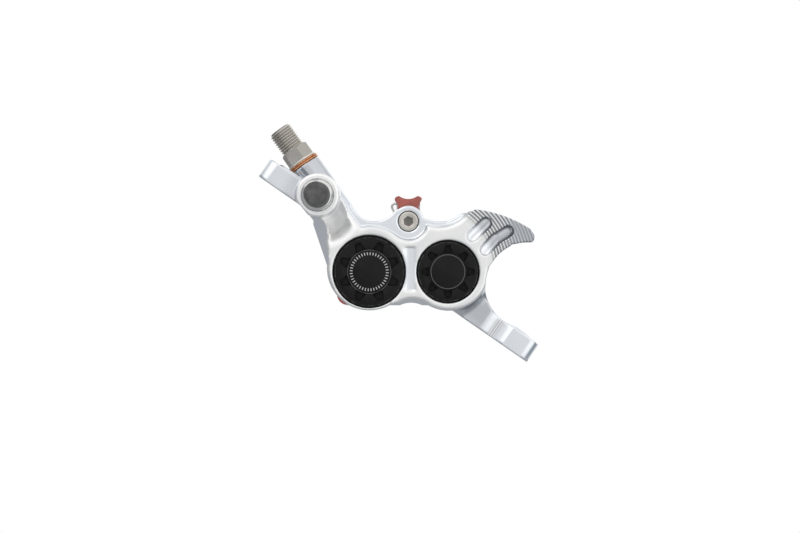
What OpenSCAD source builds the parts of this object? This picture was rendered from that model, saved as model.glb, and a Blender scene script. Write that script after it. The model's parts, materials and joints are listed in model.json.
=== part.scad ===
// Four-piston disc brake caliper with a post mount.
// Row frame: origin midway between the two mount bolts on the mount plane, X along the mount
// from the hose end, Z away from the posts, Y inboard, so that the outboard side faces -Y.
// Most shapes are drawn in the head frame: x along the piston pair, z away from the rotor centre.

/* [Post mount] */
// Distance between the two mount bolts
post_pitch = 74; // [70:0.5:80]
// From a bolt centre to the end of its tab
tab_reach = 7.4; // [6.5:0.1:9]
// Width of a tab across the mount
tab_w = 15.2; // [13:0.1:15.4]
// Thickness of a tab under the bolt
tab_t = 5.8; // [4.5:0.1:7]
// Width of a bolt slot
slot_w = 6.5; // [6.2:0.1:7]
// Length of a bolt slot from end to end
slot_l = 9.8; // [8:0.1:10.4]
// Corner radius at a tab's end
tab_r = 3.2; // [2:0.1:4]

/* [Head] */
// Angle between the mount line and the piston pair
tilt = 34.7; // [30:0.1:40]
// Midpoint of the piston pair along the mount
head_x = 3.9; // [2:0.1:6]
// Midpoint of the piston pair above the mount plane
head_z = 1.9; // [0:0.1:4]
// Distance between the large and the small piston
piston_pitch = 21.1; // [20.4:0.1:22.5]
// Rotor plane inboard of the bolt line
rotor_offset = 10.5; // [10.3:0.1:12]
// Rotor plane to the outboard face
front_depth = 22; // [21.5:0.1:24]
// Rotor plane to the inboard face
back_depth = 20; // [19:0.1:23]
// Rotor centre below the piston line
rotor_drop = 82; // [78:0.5:88]
// Radius that the rotor slot clears
rotor_clear_r = 91.5; // [90.5:0.1:92]
// Width of the rotor slot in the end walls
rotor_slot_w = 5.4; // [4.6:0.1:6]

/* [Pistons and caps] */
// Diameter of the large pistons
large_d = 16; // [15:0.1:16.4]
// Diameter of the small pistons
small_d = 14; // [13:0.1:14.4]
// Length of a piston cup
piston_len = 9; // [8:0.1:9.4]
// Diameter of the large bore cap
large_cap_d = 19.4; // [19:0.1:19.8]
// Diameter of the small bore cap
small_cap_d = 16.7; // [16.4:0.1:17.2]
// Thickness of a cap's flange
cap_t = 4.2; // [3.6:0.1:4.6]
// Length of the plain spigot behind a cap's flange
spigot_t = 1.9; // [1.6:0.1:2.2]
// Tool pockets around each cap
cap_pockets = 8; // [6:1:10]
// Radial clearance of a piston or a screwed part in its hole
fit_gap = 0.05; // [0.02:0.01:0.08]

/* [Pads] */
// Gap between the two friction faces with the pads pushed back
rotor_gap = 4.2; // [4.2:0.1:4.6]
// Thickness of the friction material
friction_t = 2; // [1.6:0.1:2.2]
// Thickness of a backplate
plate_t = 1.9; // [1.7:0.1:2.1]
// Backplate edge on the large piston side
pad_left = 19.8; // [19:0.1:20]
// Backplate edge on the small piston side
pad_right = 18.8; // [18:0.1:19]
// Backplate edge below the piston line
pad_low = 9.3; // [8.6:0.1:10]
// Height of the pad pin above the piston line
pin_z = 13.75; // [13.4:0.05:14]
// Diameter of the pad pin
pin_d = 3.9; // [3.5:0.1:4.1]
// Diameter of the pad pin's head
pin_head_d = 5.5; // [5.2:0.1:5.8]
// Height of the pad ears above the pin
ear_h = 7.2; // [6.6:0.1:7.6]
// Clearance between the pads and the walls of their pocket
pad_gap = 0.25; // [0.2:0.05:0.4]
// Thickness of the spring sheet
spring_t = 0.4; // [0.3:0.05:0.5]
// Diameter of the safety clip's wire
clip_d = 0.7; // [0.6:0.05:0.8]

/* [Hose and bleed] */
// Lean of the hose fitting from the head's upright
hose_lean = 35.5; // [33:0.5:38]
// Fitting seat sideways from the piston midpoint
hose_x = -29.1; // [-29.6:0.1:-28.6]
// Fitting seat above the piston line
hose_z = 29.9; // [29.5:0.1:31]
// Fitting axis inboard of the rotor plane
hose_y = 0.5; // [0:0.1:1.5]
// Diameter of the hose barrel
barrel_d = 9; // [8.6:0.1:9.4]
// Length of the hose barrel down to the arm
barrel_l = 25; // [23:0.5:26]
// Diameter of the hose thread
hose_thread_d = 6.8; // [6.4:0.1:7]
// Length of the hose thread
hose_thread_l = 6.7; // [6:0.1:8]
// Width of the fitting's hex across its flats
hose_hex = 7.2; // [7:0.1:7.8]
// Bleed boss sideways from the piston midpoint
bleed_x = -24.5; // [-25:0.1:-24]
// Bleed boss above the piston line
bleed_z = 20.6; // [20:0.1:21.2]
// Radius of the bleed boss
bleed_r = 5.9; // [5.6:0.1:6.2]
// Diameter of the bleed nipple's flange
flange_d = 8.9; // [8.4:0.1:9.4]
// Width of the bleed nipple's hex across its flats
bleed_hex = 4.6; // [4.2:0.1:4.8]
// Diameter of the rubber cap
bleed_cap_d = 6.7; // [6.2:0.1:7]

/* [Hidden] */
$fn = 64;
eps = 0.5;
far = 80;
rotor_y = rotor_offset;
front_y = rotor_y - front_depth;
back_y = rotor_y + back_depth;
large_x = -piston_pitch / 2;
small_x = piston_pitch / 2;
large_r = large_d / 2;
small_r = small_d / 2;
large_cap_r = large_cap_d / 2;
small_cap_r = small_cap_d / 2;
// Half width from the rotor plane out to the pads' backs and to the pocket's walls
pad_back = rotor_gap / 2 + friction_t + plate_t;
pocket_half = pad_back + 0.3;
piston_back = pad_back + piston_len;
chamber = piston_back + 0.7;
spigot_end = chamber;
flange_back = chamber + spigot_t;
flange_front = flange_back + cap_t;
spigot_step = 0.75;
// Levels of the body along Y
mid_y = rotor_y - pocket_half - 8;
mid_back_y = rotor_y + pocket_half + 8;
arm_y = front_y + 2.2;
// Ball-milled dish between the bleed boss and the large pot
dish_x = -22;
dish_z = 15.5;
dish_r = 12;
boss_y = front_y + 1;
// Cove between the small pot and the far tab
cove_r = 3.2;
cove_y = 0.1 - tab_w / 2;
seat_t = 0.45;
seat_r = slot_w / 2 + 1.2;
flank_lean = 18.6;
// Square-section piston seals
seal_w = 1.6;
seal_t = 1.25;
seal_at = pocket_half + 2;
seat_gap = 0.03;
oring_r = 0.55;
// Pad outline arcs about the rotor centre
friction_out_r = rotor_drop + 7;
plate_out_r = rotor_drop + 8.9;
plate_in_r = rotor_drop - 7.7;
groove_t = friction_t - 0.5;
pocket_top = 9.6;
window_half = 5.2;
ear_r = 3.95;
pin_y0 = mid_y + 0.3;
pin_y1 = mid_back_y + 2.9;
clip_y = mid_back_y + 1.5;
pin_hole_gap = 0.3;
hex_t = 3.8;
collar_t = 0.6;
washer_t = 1.1;
washer_d = barrel_d + 0.2;
// Top of the spring's leaves and height of the arch between them
spring_z = pin_z + pin_d / 2 + 0.9;
spring_h = 3.4;
spring_r = spring_h * 0.45;
clip_lean = 27.5;
clip_reach = 6.1;
fitting_thread_d = 5.8;
fitting_thread_l = 6.4;
nipple_thread_d = 5.9;
flange_t = 1.2;
nipple_hex_t = 3;
stem_r = 1.9;
stem_l = 8.4;
// Terraced shoulder of the horn, turned about this point of the head
dome_x = 4.7;
dome_z = 0.3;
dome_r = 16;
dome_curve = 28;

// Places children drawn in the head frame
module head() {
    translate([head_x, 0, head_z])
        rotate([0, -tilt, 0])
            children();
}

// Extrudes an outline drawn in x and z from y0 to y1
module slab(y0, y1) {
    translate([0, y1, 0])
        rotate([90, 0, 0])
            linear_extrude(y1 - y0)
                children();
}

// Turns a profile of radius and y about a line along Y
module turned(x, z) {
    translate([x, 0, z])
        rotate([-90, 0, 0])
            rotate_extrude()
                children();
}

// Plain rod along Y
module rod(x, z, r, y0, y1) {
    translate([x, y0, z])
        rotate([-90, 0, 0])
            cylinder(r = r, h = y1 - y0);
}

module disc(x, z, r) {
    translate([x, z])
        circle(r = r);
}

// Places children on the hose axis, with z outward from the barrel's end
module hose() {
    head()
        translate([hose_x, rotor_y + hose_y, hose_z])
            rotate([0, -hose_lean, 0])
                children();
}

// Mirrors children about the rotor plane
module inboard() {
    translate([0, 2 * rotor_y, 0])
        mirror([0, 1, 0])
            children();
}

// Points of a quarter round from a face at height y to a wall at radius r
function edge_round(r, y, e, up = 1) =
    [for (a = [0 : 15 : 90]) [r - e + e * sin(a), y + up * (e - e * cos(a))]];

// Points of a flare from a wall at radius r out to a face at height y
function edge_flare(r, y, e) =
    [for (a = [0 : 15 : 90]) [r + e - e * cos(a), y + e - e * sin(a)]];

// Pot with a rounded front edge
module pot(x, z, r, e, y0, y1) {
    turned(x, z)
        polygon(concat([[0, y0]], edge_round(r, y0, e), [[r, y1], [0, y1]]));
}

// Cutter with a rounded mouth, r at the wall and r + e at the front face
module bite(x, z, r, e, y1) {
    turned(x, z)
        polygon(concat(
            [[0, y1], [r, y1]],
            edge_flare(r, front_y, e),
            [[r + e, front_y - 3], [0, front_y - 3]]));
}

module mid_outline() {
    difference() {
        union() {
            disc(large_x, 1, 11);
            disc(small_x + 0.2, 0.3, 10.6);
            translate([-17, -9.2])
                square([34, 18]);
            polygon([[-20.6, -3.6], [-27.2, 16], [-15, 18.5], [-4, 17], [4, 17],
                [17.4, 16.5], [22.5, 10], [21.4, 2], [20.6, -3], [0, -3]]);
        }
        disc(large_x + 1.3, 20.5, 6.75);
        disc(8.8, 25.5, 11.8);
        disc(0.7, -15.6, 7.1);
    }
    disc(0, pin_z, 4.24);
}

// Slope along the outer edge of the large piston's flank
module flank_cut() {
    translate([-20.6, 0, -3.6])
        rotate([0, 180 - flank_lean, 0])
            translate([0, 0, -26])
                linear_extrude(31)
                    polygon([[-3, mid_y - 0.6], [0.3, mid_y + 4.2], [3, mid_y + 4.2], [3, mid_y - 0.6]]);
}

module horn_outline(root_z) {
    intersection() {
        disc(13.85, -19.4, 36.4);
        polygon([[11, -2], [11, root_z], [14.6, root_z + 1.9], [17.2, 16.2], [19.2, 18], [31, 18],
            [33.2, 11.3], [33.2, 7.5], [28, 7.5], [20, 0]]);
    }
    disc(32.1, 9.35, 2);
}

// Round-bottomed pocket of half width r milled along the horn's shoulder
module groove(x0, z0, y0, x1, z1, y1, r) {
    dx = x1 - x0;
    dy = y1 - y0;
    dz = z1 - z0;
    len = norm([dx, dy, dz]);
    intersection() {
        translate([x0, y0, z0])
            rotate([0, acos(dz / len), atan2(dy, dx)])
                translate([0, 0, -2 * r])
                    cylinder(r = r + 0.4, h = len + 4 * r);
        slab(front_y - 3, front_y + 6) {
            disc(x0, z0, r);
            disc(x1, z1, r);
            translate([x0, z0])
                rotate(atan2(dz, dx))
                    translate([0, -r])
                        square([norm([dx, dz]), 2 * r]);
        }
    }
}

module arm_outline() {
    difference() {
        polygon([[-21.3, 2], [-22.4, 9], [-27.6, 15.9], [bleed_x, bleed_z], [-18.9, 21.2],
            [-16.4, 16.6], [-14.2, 13.4], [-11, 10], [-11, 2]]);
        disc(-27.4, 10.2, 5.4);
    }
}

module tab_outline(reach_in) {
    x1 = post_pitch / 2 + tab_reach;
    x0 = reach_in;
    h = tab_w / 2;
    translate([x0, -h])
        square([x1 - tab_r - x0, tab_w]);
    translate([x0, -h + tab_r])
        square([x1 - x0, tab_w - 2 * tab_r]);
    disc(x1 - tab_r, h - tab_r, tab_r);
    disc(x1 - tab_r, -h + tab_r, tab_r);
}

module slot_outline() {
    half = (slot_l - slot_w) / 2;
    disc(post_pitch / 2, half, slot_w / 2);
    disc(post_pitch / 2, -half, slot_w / 2);
    translate([post_pitch / 2 - slot_w / 2, -half])
        square([slot_w, 2 * half]);
}

// Raised seat of a mount bolt's head
module bolt_seat() {
    translate([0, 0, tab_t - 0.5])
        linear_extrude(seat_t + 0.5) {
            half = (slot_l - slot_w) / 2;
            disc(post_pitch / 2, half, seat_r);
            disc(post_pitch / 2, -half, seat_r);
            translate([post_pitch / 2 - seat_r, -half])
                square([2 * seat_r, 2 * half]);
        }
}

module near_tab() {
    mirror([1, 0, 0]) {
        linear_extrude(tab_t)
            tab_outline(22);
        bolt_seat();
    }
}

module far_tab() {
    difference() {
        union() {
            linear_extrude(tab_t)
                tab_outline(16);
            slab(-tab_w / 2, tab_w / 2)
                polygon([[13, 0], [31.5, 0], [31.5, tab_t], [27, 17], [15, 17]]);
        }
        translate([post_pitch / 2 + tab_reach - 12.2, -tab_w / 2 - 6.7, -1])
            cylinder(r = 7.7, h = far);
    }
    bolt_seat();
    intersection() {
        head()
            turned(small_x + 0.2, 0.5)
                polygon(concat([[9, cove_y], [9, cove_y - cove_r]],
                    [for (a = [0 : 15 : 90])
                        [11 + cove_r - cove_r * cos(a), cove_y - cove_r + cove_r * sin(a)]]));
        slab(-tab_w, 0)
            polygon([[13, 0.1], [28, 0.1], [28, 9], [25, 16], [15, 16]]);
    }
}

module pocket_outline() {
    w = pad_left + pad_right + 2 * pad_gap;
    translate([-pad_left - pad_gap, -far])
        square([w, far + pocket_top - 2]);
    translate([-pad_left - pad_gap + 2, 0])
        square([w - 4, pocket_top]);
    disc(-pad_left - pad_gap + 2, pocket_top - 2, 2);
    disc(pad_right + pad_gap - 2, pocket_top - 2, 2);
    translate([-far, -far])
        square([far, far - 2.6]);
}

module stepped_bore(x, r, cap_r) {
    rod(x, 0, r + fit_gap, rotor_y - chamber - eps, rotor_y);
    rod(x, 0, cap_r - spigot_step + fit_gap, rotor_y - flange_back - eps, rotor_y - chamber);
    rod(x, 0, cap_r + fit_gap, front_y - eps, rotor_y - flange_back);
    turned(x, 0)
        polygon([[0, front_y - 0.1], [cap_r + fit_gap + 0.5, front_y - 0.1],
            [cap_r + fit_gap, front_y + 0.4], [0, front_y + 0.4]]);
    rod(x, 0, r + seal_t, rotor_y - seal_at - seal_w, rotor_y - seal_at);
}

module blind_bore(x, r) {
    rod(x, 0, r + fit_gap, rotor_y, rotor_y + chamber);
    rod(x, 0, r + seal_t, rotor_y + seal_at, rotor_y + seal_at + seal_w);
}

// Cuts that shape the horn: falling shoulder, tapered back and two milled grooves
module horn_shape() {
    fall = [for (i = [0 : 9]) dome_r + i * 2];
    intersection() {
        turned(dome_x, dome_z)
            polygon(concat([[dome_r, front_y - 3]],
                [for (r = fall) [r, front_y + (r - dome_r) * (r - dome_r) / (2 * dome_curve)]],
                [[fall[9], front_y - 3]]));
        slab(front_y - 4, mid_y + 4)
            polygon([[15, 4.6], [15, 30], [45, 30], [45, 0], [21, 0]]);
    }
    translate([0, 0, 2])
        linear_extrude(far)
            polygon([[21.5, rotor_y - 2.1], [37, -1.5], [37, rotor_y]]);
    groove(17.2, 9.6, front_y - 0.8, 20.7, 13, front_y - 0.1, 1.6);
    groove(20.7, 5.9, front_y - 0.8, 23.4, 8.8, front_y + 0.1, 1.6);
    groove(23.4, 8.8, front_y + 0.1, 26.8, 10.9, front_y + 1.2, 1.5);
}

module body_solid() {
    head() {
        difference() {
            union() {
                pot(large_x, 1, 11.4, 1.2, front_y, mid_y + 2);
                pot(small_x + 0.2, 0.5, 11, 1.2, front_y, mid_y + 2);
                slab(front_y, mid_y + 2) {
                    translate([-7, -8.5])
                        square([14, 16.8]);
                    translate([-3, 0])
                        square([15, 13.4]);
                    horn_outline(14);
                }
                slab(front_y, mid_y + 2)
                    arm_outline();
            }
            bite(0, pin_z, 5.1, 1.4, mid_y);
            bite(0.9, -14.6, 7, 1.4, mid_y);
            bite(8, 22.75, 10.45, 1.6, mid_y);
            bite(-11.6, 17.2, 3.8, 1.3, mid_y);
            translate([dish_x, arm_y + 0.9 - dish_r, dish_z])
                sphere(r = dish_r);
        }
        difference() {
            slab(mid_y, mid_back_y)
                mid_outline();
            flank_cut();
        }
        slab(mid_y, rotor_y - 2.5)
            horn_outline(11.3);
        pot(bleed_x, bleed_z, bleed_r, 0.7, boss_y, rotor_y - 3.1);
        slab(mid_y, rotor_y - 2.5)
            arm_outline();
        inboard() {
            pot(large_x, 0.5, 10.9, 2, rotor_y - back_depth, rotor_y - 10);
            pot(small_x, 0, 9.9, 2, rotor_y - back_depth, rotor_y - 10);
            slab(rotor_y - back_depth + 2, rotor_y - 10)
                translate([-8, -6])
                    square([16, 12]);
        }
    }
    hose()
        translate([0, 0, -barrel_l])
            cylinder(r = barrel_d / 2, h = barrel_l);
    near_tab();
    far_tab();
}

module caliper_body() {
    color([0.78, 0.79, 0.8])
        difference() {
            body_solid();
            head() {
                slab(rotor_y - pocket_half, rotor_y + pocket_half)
                    pocket_outline();
                slab(rotor_y - pocket_half, rotor_y + pocket_half)
                    translate([-window_half, 5])
                        square([2 * window_half, 20]);
                rod(0, -rotor_drop, rotor_clear_r, rotor_y - rotor_slot_w / 2, rotor_y + rotor_slot_w / 2);
                stepped_bore(large_x, large_r, large_cap_r);
                stepped_bore(small_x, small_r, small_cap_r);
                blind_bore(large_x, large_r);
                blind_bore(small_x, small_r);
                rod(0, pin_z, pin_d / 2 + fit_gap, mid_y - eps, mid_back_y + eps);
                rod(0, pin_z, pin_head_d / 2 + 0.1, mid_y - eps, pin_y0 + 2);
                rod(bleed_x, bleed_z, nipple_thread_d / 2 + fit_gap, boss_y - eps, boss_y + 8);
                horn_shape();
                rod(large_x, 0.5, 7.4, back_y - 0.6, back_y + eps);
                rod(small_x, 0, 6.4, back_y - 0.6, back_y + eps);
                translate([0, 0, -10])
                    linear_extrude(30)
                        polygon([[-32, 12], [-32, back_y], [-17, back_y]]);
                translate([0.35, front_y - 3.5, -5.3])
                    cylinder(r = 4, h = 12);
            }
            hose()
                translate([0, 0, -fitting_thread_l - 1])
                    cylinder(r = fitting_thread_d / 2 + fit_gap, h = fitting_thread_l + 1 + eps);
            slab(front_y - eps, rotor_y - 2.4)
                disc(32.6, 17.3, 11.65);
            slab(front_y - eps, rotor_y + 2)
                polygon([[-far, -20], [-far, 0], [-30.2, 0], [-25.2, -1.55], [-25.2, -20]]);
            translate([19.2, front_y - eps, -20])
                cube([far, front_depth + 2, 20]);
            for (side = [0, 1])
                mirror([side, 0, 0])
                    translate([0, 0, -eps])
                        linear_extrude(tab_t + 3)
                            slot_outline();
        }
}

module bore_cap(x, r, turn) {
    front = rotor_y - flange_front;
    inner = r * 0.57;
    low = inner + 0.25;
    high = r * 0.86;
    difference() {
        turned(x, 0)
            polygon([[0, front], [r - 0.35, front], [r, front + 0.35], [r, rotor_y - flange_back],
                [r - spigot_step, rotor_y - flange_back], [r - spigot_step, rotor_y - spigot_end - 1.5],
                [r - spigot_step - 1.1, rotor_y - spigot_end - 1.5],
                [r - spigot_step - 1.1, rotor_y - spigot_end - 0.3],
                [r - spigot_step, rotor_y - spigot_end - 0.3], [r - spigot_step, rotor_y - spigot_end],
                [0, rotor_y - spigot_end]]);
        for (i = [0 : cap_pockets - 1])
            translate([x, 0, 0])
                rotate([0, turn + i * 360 / cap_pockets, 0])
                    slab(front - eps, front + 1.6)
                        polygon([[low, -r * 0.155], [high, -r * 0.085], [high, r * 0.085], [low, r * 0.155]]);
        turned(x, 0)
            polygon([[inner, front - eps], [inner + 0.5, front - eps], [inner + 0.5, front + 0.3], [inner, front + 0.3]]);
    }
}

module large_bore_cap() {
    color([0.05, 0.05, 0.06])
        head()
            bore_cap(large_x, large_cap_r, 22.5);
}

module small_bore_cap() {
    color([0.05, 0.05, 0.06])
        head()
            bore_cap(small_x, small_cap_r, 0);
}

module cap_oring(x, r) {
    translate([x, rotor_y - spigot_end - 0.9, 0])
        rotate([-90, 0, 0])
            rotate_extrude()
                translate([r - spigot_step - oring_r, 0])
                    circle(r = oring_r);
}

module large_cap_oring() {
    color([0.1, 0.1, 0.1])
        head()
            cap_oring(large_x, large_cap_r);
}

module small_cap_oring() {
    color([0.1, 0.1, 0.1])
        head()
            cap_oring(small_x, small_cap_r);
}

module piston(x, r) {
    turned(x, 0)
        polygon([[0, rotor_y - piston_back], [r - 0.6, rotor_y - piston_back], [r, rotor_y - piston_back + 0.6],
            [r, rotor_y - pad_back], [r - 0.9, rotor_y - pad_back], [r - 0.9, rotor_y - piston_back + 1.2],
            [0, rotor_y - piston_back + 1.2]]);
}

module insert(x, r) {
    turned(x, 0)
        polygon([[r * 0.45, rotor_y - pad_back], [r - 0.9 - seat_gap, rotor_y - pad_back],
            [r - 0.9 - seat_gap, rotor_y - piston_back + 1.2], [r * 0.45, rotor_y - piston_back + 1.2]]);
}

module seal(x, r) {
    turned(x, 0)
        polygon([[r + seat_gap, rotor_y - seal_at - seal_w], [r + seal_t - seat_gap, rotor_y - seal_at - seal_w],
            [r + seal_t - seat_gap, rotor_y - seal_at], [r + seat_gap, rotor_y - seal_at]]);
}

module outer_large_piston() {
    color([0.72, 0.72, 0.74])
        head()
            piston(large_x, large_r);
}

module outer_small_piston() {
    color([0.72, 0.72, 0.74])
        head()
            piston(small_x, small_r);
}

module inner_large_piston() {
    color([0.72, 0.72, 0.74])
        head()
            inboard()
                piston(large_x, large_r);
}

module inner_small_piston() {
    color([0.72, 0.72, 0.74])
        head()
            inboard()
                piston(small_x, small_r);
}

module outer_large_insert() {
    color([0.3, 0.2, 0.12])
        head()
            insert(large_x, large_r);
}

module outer_small_insert() {
    color([0.3, 0.2, 0.12])
        head()
            insert(small_x, small_r);
}

module inner_large_insert() {
    color([0.3, 0.2, 0.12])
        head()
            inboard()
                insert(large_x, large_r);
}

module inner_small_insert() {
    color([0.3, 0.2, 0.12])
        head()
            inboard()
                insert(small_x, small_r);
}

module outer_large_seal() {
    color([0.12, 0.12, 0.12])
        head()
            seal(large_x, large_r);
}

module outer_small_seal() {
    color([0.12, 0.12, 0.12])
        head()
            seal(small_x, small_r);
}

module inner_large_seal() {
    color([0.12, 0.12, 0.12])
        head()
            inboard()
                seal(large_x, large_r);
}

module inner_small_seal() {
    color([0.12, 0.12, 0.12])
        head()
            inboard()
                seal(small_x, small_r);
}

module plate_outline() {
    w = pad_left + pad_right;
    top = pin_z + ear_h;
    difference() {
        union() {
            intersection() {
                union() {
                    translate([-pad_left, -pad_low + 3])
                        square([w, 30]);
                    translate([-pad_left + 3, -pad_low])
                        square([w - 6, 30]);
                    disc(-pad_left + 3, -pad_low + 3, 3);
                    disc(pad_right - 3, -pad_low + 3, 3);
                }
                disc(0, -rotor_drop, plate_out_r);
            }
            translate([-4.4, 5])
                square([8.8, 5.6]);
            disc(0, pin_z, ear_r);
            translate([-ear_r, 9])
                square([2 * ear_r, pin_z - 9]);
            translate([-3.3, pin_z])
                square([6.6, ear_h - 2]);
            disc(-2.6, top - 1.35, 1.35);
            disc(2.6, top - 1.35, 1.35);
            translate([-3.95, top - 2.2])
                square([7.9, 0.85]);
            translate([-2.6, top - 2.2])
                square([5.2, 2.2]);
        }
        disc(0, -rotor_drop, plate_in_r);
        disc(0, pin_z, pin_d / 2 + pin_hole_gap);
        disc(0, top + 3.4, 4.2);
        disc(-6.6, pin_z + 3.9, 3.75);
        disc(6.6, pin_z + 3.9, 3.75);
    }
}

module friction_outline() {
    w = pad_left + pad_right - 2.2;
    difference() {
        intersection() {
            union() {
                translate([-pad_left + 1.1, -pad_low + 4])
                    square([w, 20]);
                translate([-pad_left + 4, -pad_low + 1.1])
                    square([w - 5.8, 20]);
                disc(-pad_left + 4, -pad_low + 4, 2.9);
                disc(pad_right - 4, -pad_low + 4, 2.9);
            }
            disc(0, -rotor_drop, friction_out_r);
        }
        disc(0, -rotor_drop, plate_in_r + 1);
    }
}

// Friction block with one wear groove, drawn for the outboard side
module friction() {
    difference() {
        slab(rotor_y - rotor_gap / 2 - friction_t, rotor_y - rotor_gap / 2)
            friction_outline();
        slab(rotor_y - rotor_gap / 2 - groove_t, rotor_y)
            rotate(12)
                translate([-0.6, -20])
                    square([1.2, 40]);
    }
}

module outer_pad_plate() {
    color([0.62, 0.06, 0.06])
        head()
            slab(rotor_y - pad_back, rotor_y - pad_back + plate_t)
                plate_outline();
}

module inner_pad_plate() {
    color([0.62, 0.06, 0.06])
        head()
            slab(rotor_y + pad_back - plate_t, rotor_y + pad_back)
                plate_outline();
}

module outer_pad_friction() {
    color([0.25, 0.22, 0.2])
        head()
            friction();
}

module inner_pad_friction() {
    color([0.25, 0.22, 0.2])
        head()
            inboard()
                friction();
}

module pad_pin() {
    color([0.7, 0.7, 0.7])
        head()
            difference() {
                turned(0, pin_z)
                    polygon([[0, pin_y0], [pin_head_d / 2 - 0.4, pin_y0], [pin_head_d / 2, pin_y0 + 0.4],
                        [pin_head_d / 2, pin_y0 + 2], [pin_d / 2, pin_y0 + 2], [pin_d / 2, pin_y1 - 0.6],
                        [pin_d / 2 - 0.6, pin_y1], [0, pin_y1]]);
                translate([0, pin_y0 - eps, pin_z])
                    rotate([-90, 0, 0])
                        cylinder(r = 2.5 / sqrt(3), h = 1.6 + eps, $fn = 6);
                translate([0, clip_y, pin_z])
                    rotate([0, -clip_lean, 0])
                        translate([0, 0, -pin_d])
                            cylinder(r = clip_d / 2 + fit_gap, h = 2 * pin_d);
            }
}

// Wire clip drawn with its straight leg along z and the bent leg at positive x
module pad_pin_clip() {
    r = clip_d / 2;
    bend = 0.95;
    hug = pin_d / 2 + r + 0.2;
    turn = acos(2 * bend / hug);
    color([0.75, 0.75, 0.76])
        head()
            translate([0, clip_y, pin_z])
                rotate([0, -clip_lean, 0]) mirror([1, 0, 0]) {
                    translate([0, 0, -3.4])
                        cylinder(r = r, h = 3.4 + clip_reach);
                    translate([bend, 0, clip_reach])
                        rotate([90, 0, 0])
                            rotate_extrude(angle = 180)
                                translate([bend, 0])
                                    circle(r = r);
                    translate([2 * bend, 0, hug * sin(turn)])
                        cylinder(r = r, h = clip_reach - hug * sin(turn));
                    translate([2 * bend, 0, hug * sin(turn)])
                        sphere(r = r);
                    rotate([90, 0, 0])
                        rotate([0, 0, -turn])
                            rotate_extrude(angle = 2 * turn)
                                translate([hug, 0])
                                    circle(r = r);
                    translate([2 * bend, 0, -hug * sin(turn)])
                        sphere(r = r);
                    translate([2 * bend, 0, -hug * sin(turn)])
                        rotate([0, 150, 0])
                            cylinder(r = r, h = 1.6);
                }
}

module spring_leaf() {
    difference() {
        union() {
            translate([-3.3, 7.3])
                square([6.6, spring_z - 7.3]);
            translate([-9, 7.3])
                square([18, 1.2]);
        }
        disc(0, pin_z, pin_d / 2 + 0.5);
    }
}

// Flat-topped arch of half width w and height h with rounded shoulders
module spring_arch(w, h, r) {
    translate([-w + r, 0])
        square([2 * (w - r), h]);
    translate([-w, 0])
        square([2 * w, h - r]);
    disc(-w + r, h - r, r);
    disc(w - r, h - r, r);
}

module pad_spring() {
    half = rotor_gap / 2 + friction_t;
    color([0.75, 0.75, 0.76])
        head() {
            slab(rotor_y - half, rotor_y - half + spring_t)
                spring_leaf();
            slab(rotor_y + half - spring_t, rotor_y + half)
                spring_leaf();
            translate([-3.3, rotor_y, spring_z - 0.2])
                rotate([90, 0, 90])
                    linear_extrude(6.6)
                        difference() {
                            spring_arch(half, spring_h, spring_r);
                            translate([0, -spring_t])
                                spring_arch(half - spring_t, spring_h, spring_r - spring_t);
                        }
        }
}

module bleed_nipple() {
    f = flange_d / 2;
    y0 = boss_y - flange_t;
    color([0.7, 0.69, 0.66])
        head()
            difference() {
                union() {
                    translate([bleed_x, y0 - nipple_hex_t, bleed_z])
                        rotate([-90, 0, 0])
                            cylinder(r = bleed_hex / sqrt(3), h = nipple_hex_t + 0.2, $fn = 6);
                    turned(bleed_x, bleed_z)
                        polygon([[0, boss_y - stem_l], [stem_r - 0.5, boss_y - stem_l], [stem_r, boss_y - stem_l + 0.9],
                            [stem_r, y0], [f - 1, y0], [f, boss_y - 0.3], [f, boss_y], [nipple_thread_d / 2, boss_y],
                            [nipple_thread_d / 2, boss_y + 6], [1, boss_y + 7.6], [0, boss_y + 7.6]]);
                }
                rod(bleed_x, bleed_z, 0.9, boss_y - stem_l - eps, boss_y + 5);
            }
}

module bleed_cap() {
    r = bleed_cap_d / 2;
    y0 = boss_y - stem_l - 1.2;
    y1 = boss_y - flange_t;
    y2 = y1 - nipple_hex_t;
    hex_r = bleed_hex / sqrt(3) + 0.15;
    color([0.16, 0.16, 0.17])
        head()
            turned(bleed_x, bleed_z)
                polygon(concat([[0, y0]], edge_round(r - 0.25, y0, 1),
                    [[r, y1], [hex_r, y1], [hex_r, y2], [stem_r + fit_gap, y2],
                    [stem_r + fit_gap, boss_y - stem_l], [0, boss_y - stem_l]]));
}

module hose_fitting() {
    z0 = washer_t;
    z1 = z0 + collar_t;
    z2 = z1 + hex_t;
    z3 = z2 + hose_thread_l;
    t = hose_thread_d / 2;
    c = washer_d / 2 - 0.3;
    h = hose_hex / 2;
    color([0.66, 0.63, 0.6])
        hose()
            difference() {
                union() {
                    intersection() {
                        translate([0, 0, z0 + 0.1])
                            rotate(45)
                                cylinder(r = hose_hex / sqrt(3), h = z2 - z0 - 0.1, $fn = 6);
                        rotate_extrude()
                            polygon([[0, z0], [h + 1, z0], [h + 1, z2 - 0.5], [h + 0.1, z2], [0, z2]]);
                    }
                    rotate_extrude()
                        polygon([[0, -fitting_thread_l], [fitting_thread_d / 2, -fitting_thread_l],
                            [fitting_thread_d / 2, z0], [c, z0], [c, z1 - 0.2], [c - 0.2, z1], [2.6, z1],
                            [2.6, z2 - 0.6], [t, z2 - 0.6], [t, z3 - 0.5], [t - 0.5, z3], [0, z3]]);
                }
                translate([0, 0, -fitting_thread_l - eps])
                    cylinder(r = 1.1, h = fitting_thread_l + z3 + 2 * eps);
                translate([0, 0, z3 - 2.4])
                    cylinder(r1 = 1.1, r2 = 2.1, h = 2.4 + 0.01);
            }
}

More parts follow.
